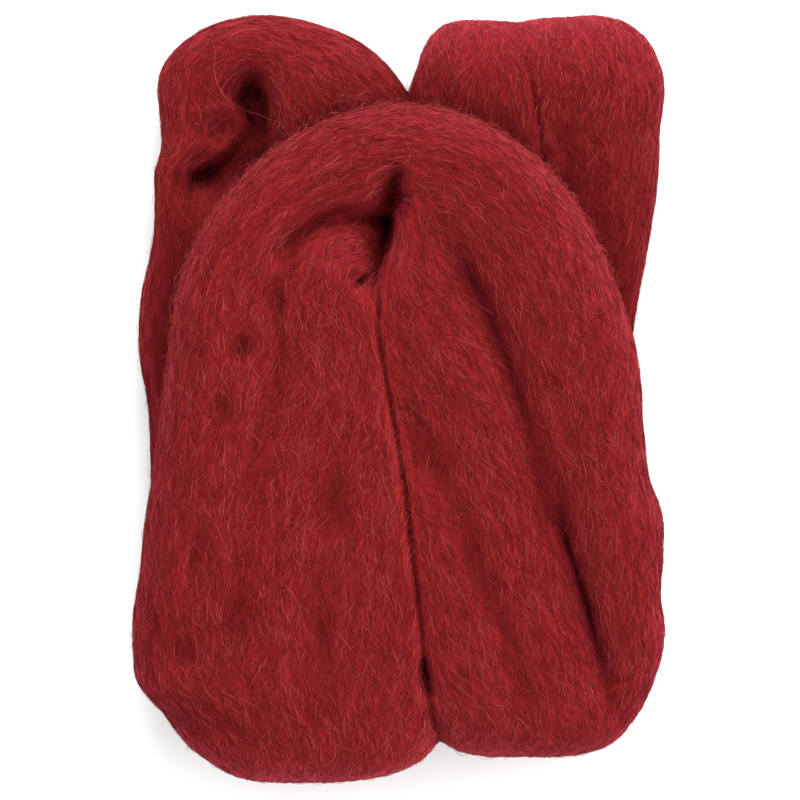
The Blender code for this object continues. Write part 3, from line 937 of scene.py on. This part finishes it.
    along, facing = (
        node(
            tree,
            "GeometryNodeSampleNearestSurface",
            data_type="FLOAT_VECTOR",
            Mesh=skin,
            Value=value,
            Sample_Position=position,
        )
        for value in (carried["way"], node(tree, "GeometryNodeInputNormal"))
    )
    swing = node(tree, "ShaderNodeMath", now, CRIMP_TURN, operation="MULTIPLY")
    swing = node(tree, "ShaderNodeMath", swing, carried["phase"], operation="ADD")
    swing = node(tree, "ShaderNodeMath", swing, operation="SINE")
    swing = node(tree, "ShaderNodeMath", swing, carried["bend"], operation="MULTIPLY")
    turned = node(
        tree, "ShaderNodeMath", carried["spin"], now, carried["turn"], operation="MULTIPLY_ADD"
    )
    heading = node(
        tree,
        "ShaderNodeVectorRotate",
        rotation_type="AXIS_ANGLE",
        Vector=along,
        Axis=facing,
        Angle=node(tree, "ShaderNodeMath", swing, turned, operation="ADD"),
    )
    ahead = node(
        tree,
        "ShaderNodeVectorMath",
        heading,
        carried["reach"],
        position,
        operation="MULTIPLY_ADD",
    )
    landed = node(
        tree,
        "GeometryNodeProximity",
        target_element="FACES",
        Geometry=skin,
        Sample_Position=ahead,
    )
    part = node(tree, "ShaderNodeMath", now, 1.0, operation="ADD")
    part = node(tree, "ShaderNodeMath", part, points_each - 1.0, operation="DIVIDE")
    arched = node(tree, "ShaderNodeMath", part, math.pi, operation="MULTIPLY")
    arched = node(tree, "ShaderNodeMath", arched, operation="SINE")
    raised = node(
        tree, "ShaderNodeMix", data_type="FLOAT", Factor=given["Standing"], A=arched, B=part
    )
    raised = node(tree, "ShaderNodeMath", raised, carried["rise"], operation="MULTIPLY")
    place = node(
        tree,
        "ShaderNodeVectorMath",
        facing,
        raised,
        landed.outputs["Position"],
        operation="MULTIPLY_ADD",
    )
    moved = node(
        tree, "GeometryNodeSetPosition", Geometry=begin.outputs["Geometry"], Position=place
    )
    tree.links.new(moved.outputs[0], finish.inputs["Geometry"])
    tree.links.new(trail.outputs[0], finish.inputs["Trail"])

    # The points of each fibre join to a line, and the line gets a tube that tapers off.
    lines = node(
        tree,
        "GeometryNodePointsToCurves",
        Points=finish.outputs["Trail"],
        Curve_Group_ID=carried["fibre"],
        Weight=carried["step"],
    )
    factor = node(tree, "GeometryNodeSplineParameter").outputs["Factor"]
    lines = node(
        tree,
        "GeometryNodeStoreNamedAttribute",
        data_type="FLOAT",
        domain="POINT",
        Geometry=lines,
        Name="along",
        Value=factor,
    )
    left = node(tree, "ShaderNodeMath", 1.0, factor, operation="SUBTRACT")
    left = node(tree, "ShaderNodeMath", factor, left, operation="MULTIPLY")
    taper = node(tree, "ShaderNodeMath", left, 4.0, operation="MULTIPLY")
    taper = node(tree, "ShaderNodeMath", taper, operation="SQRT")
    section = node(
        tree,
        "GeometryNodeCurvePrimitiveCircle",
        Resolution=FIBRE_SIDES,
        Radius=node(tree, "ShaderNodeMath", given["Thickness"], 0.5, operation="MULTIPLY"),
    )
    section = node(
        tree,
        "GeometryNodeStoreNamedAttribute",
        data_type="FLOAT",
        domain="POINT",
        Geometry=section,
        Name="round",
        Value=node(tree, "ShaderNodeMath", index, float(FIBRE_SIDES), operation="DIVIDE"),
    )
    tubes = node(
        tree, "GeometryNodeCurveToMesh", Curve=lines, Profile_Curve=section, Scale=taper
    )
    across = node(
        tree,
        "ShaderNodeMath",
        carried["round"],
        0.02,
        carried["shade"],
        operation="MULTIPLY_ADD",
    )
    tubes = node(
        tree,
        "GeometryNodeStoreNamedAttribute",
        data_type="FLOAT2",
        domain="CORNER",
        Geometry=tubes,
        Name="OFBake",
        Value=node(tree, "ShaderNodeCombineXYZ", X=across, Y=carried["along"]),
    )
    tubes = node(
        tree, "GeometryNodeMergeByDistance", mode="CONNECTED", Geometry=tubes, Distance=1e-6
    )
    tubes = node(tree, "GeometryNodeSetShadeSmooth", Geometry=tubes)
    tubes = node(tree, "GeometryNodeRealizeInstances", Geometry=tubes)
    tubes = node(tree, "GeometryNodeSetMaterial", Geometry=tubes, Material=given["Material"])
    result = node(tree, "NodeGroupOutput", Geometry=tubes)
    result.is_active_output = True
    return tree


def grown(name, tree, skin, **values):
    """A plain mesh of the fibres that this tree grows on the skin."""
    carrier = bpy.data.objects.new(name, skin)
    bpy.context.scene.collection.objects.link(carrier)
    growth = carrier.modifiers.new("growth", "NODES")
    growth.node_group = tree
    for item in tree.interface.items_tree:
        if item.in_out == "INPUT" and item.name in values:
            growth[item.identifier] = values[item.name]
    mesh = evaluated_mesh(carrier)
    bpy.data.objects.remove(carrier)
    mesh.name = name
    made = bpy.data.objects.new(name, mesh)
    bpy.context.scene.collection.objects.link(made)
    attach(made, "root")
    return made


# A single dyed merino fibre: smoother and glossier than the mass, and thin enough to glow in
# the light. Its map holds its shade across, from the darkest to a pale pink that is partly a
# painted highlight for that glow, and its length the other way.
fibre_wool = bpy.data.materials.new("dyed_wool_fibre")
fibre_wool.use_nodes = True
tree = fibre_wool.node_tree
tree.nodes.clear()
lie = node(tree, "ShaderNodeUVMap", uv_map="OFBake")
parts = node(tree, "ShaderNodeSeparateXYZ", Vector=lie)
shades = node(tree, "ShaderNodeValToRGB", Fac=parts.outputs["X"])
ramp = shades.color_ramp
ramp.elements[0].position = 0.0
ramp.elements[0].color = linear("#570909")
ramp.elements[1].position = 1.0
ramp.elements[1].color = linear("#B84E4E")
half_way = ramp.elements.new(0.5)
half_way.color = linear("#701012")
bright = ramp.elements.new(0.8)
bright.color = linear("#8E2729")
surface = node(
    tree,
    "ShaderNodeBsdfPrincipled",
    Base_Color=shades.outputs["Color"],
    Roughness=0.6,
    Specular_IOR_Level=0.1,
    Sheen_Weight=0.25,
    Sheen_Roughness=0.5,
    Sheen_Tint=linear("#E83C40"),
)
node(tree, "ShaderNodeOutputMaterial", Surface=surface)

long_fibres = fibre_tree("long_fibres", 4)
short_fibres = fibre_tree("short_fibres", 3)
for i in range(2):
    grown(
        f"long_fibres_{i + 1}",
        long_fibres,
        body,
        Density=425000.0,
        Length=8.5 * MM,
        Thickness=0.1 * MM,
        Stray=0.8,
        Crimp=0.35,
        Spin=0.25,
        Lift=0.5 * MM,
        Darkest=0.0,
        Palest=1.0,
        Seed=100 * i,
        Material=fibre_wool,
    )
for i in range(2):
    grown(
        f"short_fibres_{i + 1}",
        short_fibres,
        body,
        Density=850000.0,
        Length=4.5 * MM,
        Thickness=0.1 * MM,
        Stray=1.2,
        Crimp=0.4,
        Spin=0.4,
        Lift=0.3 * MM,
        Darkest=0.0,
        Palest=1.0,
        Seed=100 * i + 500,
        Material=fibre_wool,
    )

# ------------------------------------------------------------------------------------------
# The loose fibres. Handling pulls single fibres out of the combed mass: they lie on it in
# curls and open loops, and stand off its edges as a fine fuzz.
# ------------------------------------------------------------------------------------------

# The loose curls and the edge fuzz take their shades from the paler part of the ramp, partly as
# a painted highlight.
grown(
    "loose_curls",
    fibre_tree("loose_curls", 7),
    body,
    Density=77000.0,
    Length=5.5 * MM,
    Thickness=0.075 * MM,
    Stray=3.0,
    Crimp=0.25,
    Spin=0.6,
    Lift=1.2 * MM,
    Standing=0.0,
    Darkest=0.4,
    Palest=0.94,
    Seed=900,
    Material=fibre_wool,
)
grown(
    "edge_fuzz",
    fibre_tree("edge_fuzz", 5, "rim"),
    body,
    Density=700000.0,
    Length=4.5 * MM,
    Thickness=0.07 * MM,
    Stray=3.0,
    Crimp=0.9,
    Spin=0.8,
    Lift=2.4 * MM,
    Standing=0.8,
    Darkest=0.4,
    Palest=1.0,
    Seed=1300,
    Material=fibre_wool,
)

# Single fibres long or pale enough to be seen one by one, from where each starts to where it
# ends, seen from above. The rise is how far one stands off the wool half way along.
Stray = namedtuple("Stray", "thickness shade rise line")
STRAY_STEP = 0.6
STRAY_CLEARANCE = 0.15
STRAYS = [
    Stray(
        0.14,
        1.0,
        1.5,
        [
            (-46.3, 87.7), (-45.2, 85.2), (-45.5, 81.5), (-44.9, 77.8), (-43.2, 74.5),
            (-40.4, 72.3), (-37.5, 71.2), (-34.6, 70.4), (-31.7, 68.8), (-29.3, 67.6),
            (-27.1, 66.3),
        ],
    ),
    Stray(0.16, 1.0, 0.8, [(-18.6, 55.4), (-15.9, 57.0), (-14.7, 58.2), (-13.4, 59.2)]),
    Stray(0.12, 0.98, 0.8, [(-8.4, 63.4), (-9.0, 62.2), (-8.4, 61.4), (-7.2, 61.8)]),
    Stray(0.12, 0.96, 0.8, [(-3.2, 74.2), (-2.0, 74.0), (-1.8, 72.8), (-3.2, 72.0)]),
    Stray(0.1, 0.97, 0.6, [(-51.0, 67.8), (-49.8, 67.6), (-48.5, 66.9)]),
    Stray(0.1, 0.97, 0.6, [(-45.5, 65.1), (-44.5, 64.9), (-43.8, 63.9)]),
    Stray(0.1, 0.95, 0.6, [(-48.2, 59.0), (-47.6, 58.4), (-47.1, 58.2)]),
    Stray(0.1, 0.92, 0.8, [(-39.3, 25.9), (-38.8, 23.7), (-37.6, 22.1), (-36.3, 21.7)]),
]

# A frizzy tuft of pulled fibres lies along the top of the arch, each one an open curl.
TUFT_FIBRES = 70
TUFT_POINTS = 6
TUFT_THICKNESS = 0.09
TUFT_LINE = [
    (-28.5, 65.0), (-22.0, 68.5), (-15.5, 71.5), (-8.0, 72.5), (0.0, 71.5), (3.5, 72.5),
]
pick = np.random.default_rng(7)
for x, y in curve_through(TUFT_LINE, pick.uniform(0, length_of(TUFT_LINE), TUFT_FIBRES)):
    radius = pick.uniform(0.8, 2.4)
    arc = pick.uniform(0, 2 * np.pi) + np.linspace(0, pick.uniform(1.5, 4.0), TUFT_POINTS)
    curl = np.stack([x + radius * np.cos(arc), y + radius * np.sin(arc)], 1)
    curl += pick.normal(0, 0.9, 2) + pick.normal(0, 0.2, curl.shape)
    shade, rise = pick.uniform(0.6, 0.97), pick.uniform(0.3, 2.2)
    STRAYS.append(Stray(TUFT_THICKNESS, shade, rise, [tuple(place) for place in curl]))


def stray_tube(stray, skin_tree, first):
    """One stray fibre laid on the wool, as the places of its points, their map, and its
    triangles, with its points numbered from the first. It tapers to a point at both ends."""
    at = np.arange(0.0, length_of(stray.line), STRAY_STEP)
    line = curve_through([(*place, 0.0) for place in stray.line], at) - shift / MM
    part = at / at[-1]
    for i, (x, y, _) in enumerate(line):
        hit = skin_tree.ray_cast(Vector((x * MM, y * MM, 1.0)), Vector((0.0, 0.0, -1.0)))
        line[i, 2] = hit[0].z / MM
    over_five = np.full(5, 1 / 5)
    line[:, 2] = np.convolve(np.pad(line[:, 2], 2, "edge"), over_five, "valid")
    line[:, 2] += STRAY_CLEARANCE + stray.rise * np.sin(np.pi * part)
    run = unit(np.gradient(line, axis=0))
    side = unit(np.cross(run, (0.0, 0.0, 1.0)))
    over = np.cross(side, run)
    turn = 2 * np.pi * np.arange(FIBRE_SIDES) / FIBRE_SIDES
    half = stray.thickness / 2 * np.sqrt(4 * part * (1 - part))[1:-1, None, None]
    out = np.cos(turn)[:, None] * side[1:-1, None] + np.sin(turn)[:, None] * over[1:-1, None]
    rings = (line[1:-1, None] + half * out).reshape(-1, 3)
    points = np.concatenate([line[:1], rings, line[-1:]])
    part_of = np.concatenate([[0.0], np.repeat(part[1:-1], FIBRE_SIDES), [1.0]])
    lie = np.stack([np.full(len(points), stray.shade), part_of], 1)

    last = first + len(points) - 1
    triangles = []
    for j in range(FIBRE_SIDES):
        k = (j + 1) % FIBRE_SIDES
        triangles.append((first, first + 1 + j, first + 1 + k))
        for ring in range(first + 1, last - FIBRE_SIDES, FIBRE_SIDES):
            ahead = ring + FIBRE_SIDES
            triangles += [(ring + j, ahead + j, ahead + k), (ring + j, ahead + k, ring + k)]
        triangles.append((last, last - FIBRE_SIDES + k, last - FIBRE_SIDES + j))
    return points * MM, lie, triangles


skin_tree = BVHTree.FromPolygons(places.tolist(), verts.tolist())
stray_points = []
stray_lie = []
stray_triangles = []
for stray in STRAYS:
    points, lie, triangles = stray_tube(stray, skin_tree, len(stray_points))
    stray_points += points.tolist()
    stray_lie += lie.tolist()
    stray_triangles += triangles
stray_mesh = bpy.data.meshes.new("stray_fibres")
stray_mesh.from_pydata(stray_points, [], stray_triangles)
stray_map = stray_mesh.uv_layers.new(name="OFBake")
corner_lie = np.array(stray_lie)[np.array(stray_triangles).ravel()]
stray_map.data.foreach_set("uv", corner_lie.astype(np.float32).ravel())
stray_mesh.polygons.foreach_set("use_smooth", np.ones(len(stray_triangles), bool))
stray_mesh.materials.append(fibre_wool)
strays = bpy.data.objects.new("stray_fibres", stray_mesh)
bpy.context.scene.collection.objects.link(strays)
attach(strays, "root")

# ------------------------------------------------------------------------------------------
# The table, the light and the camera. The camera looks straight down, as in the photo.
# ------------------------------------------------------------------------------------------

FLOOR_SIDE = 3.0
floor_mesh = bpy.data.meshes.new("floor")
half = FLOOR_SIDE / 2
floor_mesh.from_pydata(
    [(-half, -half, 0), (half, -half, 0), (half, half, 0), (-half, half, 0)],
    [],
    [(0, 1, 2, 3)],
)
floor = bpy.data.objects.new("floor", floor_mesh)
bpy.context.scene.collection.objects.link(floor)
# Uncoated white paper: matt, with no texture that shows at this distance.
paper = bpy.data.materials.new("white_paper")
paper.use_nodes = True
paper_look = paper.node_tree.nodes["Principled BSDF"].inputs
paper_look["Base Color"].default_value = linear("#F6F6F6")
paper_look["Roughness"].default_value = 0.9
floor_mesh.materials.append(paper)

sky = bpy.data.worlds.new("studio")
sky.use_nodes = True
sky_light = sky.node_tree.nodes["Background"].inputs
sky_light["Color"].default_value = (1.0, 1.0, 1.0, 1.0)
sky_light["Strength"].default_value = 0.95
bpy.context.scene.world = sky

# Each lamp's place and side are in metres and its power in watts, and it faces the hank.
for name, place, side, power in (
    ("window", (0.2, 1.0, 0.62), 1.0, 26.0),
    ("fill_right", (0.9, -0.1, 0.45), 0.8, 6.0),
    ("fill_front", (-0.3, -0.9, 0.5), 0.8, 5.0),
):
    lamp = bpy.data.lights.new(name, "AREA")
    lamp.size = side
    lamp.energy = power
    light = bpy.data.objects.new(name, lamp)
    light.location = place
    light.rotation_euler = Vector(place).to_track_quat("Z", "Y").to_euler()
    bpy.context.scene.collection.objects.link(light)

# The photo is 800 pixels wide, and one is 0.2461 mm at the height of the hank's outline.
PHOTO_WIDTH = 800 * 0.2461 * MM
LENS = 150.0
SENSOR = 36.0
OUTLINE_HEIGHT = 24 * MM
ASIDE = (0.12 * MM, -0.5 * MM)
camera_data = bpy.data.cameras.new("camera")
camera_data.lens = LENS
camera_data.sensor_width = SENSOR
camera_data.clip_end = 20.0
camera = bpy.data.objects.new("camera", camera_data)
distance = PHOTO_WIDTH * LENS / SENSOR
camera.location = (*ASIDE, OUTLINE_HEIGHT + distance)
bpy.context.scene.collection.objects.link(camera)
bpy.context.scene.camera = camera
bpy.context.scene.view_settings.view_transform = "Standard"
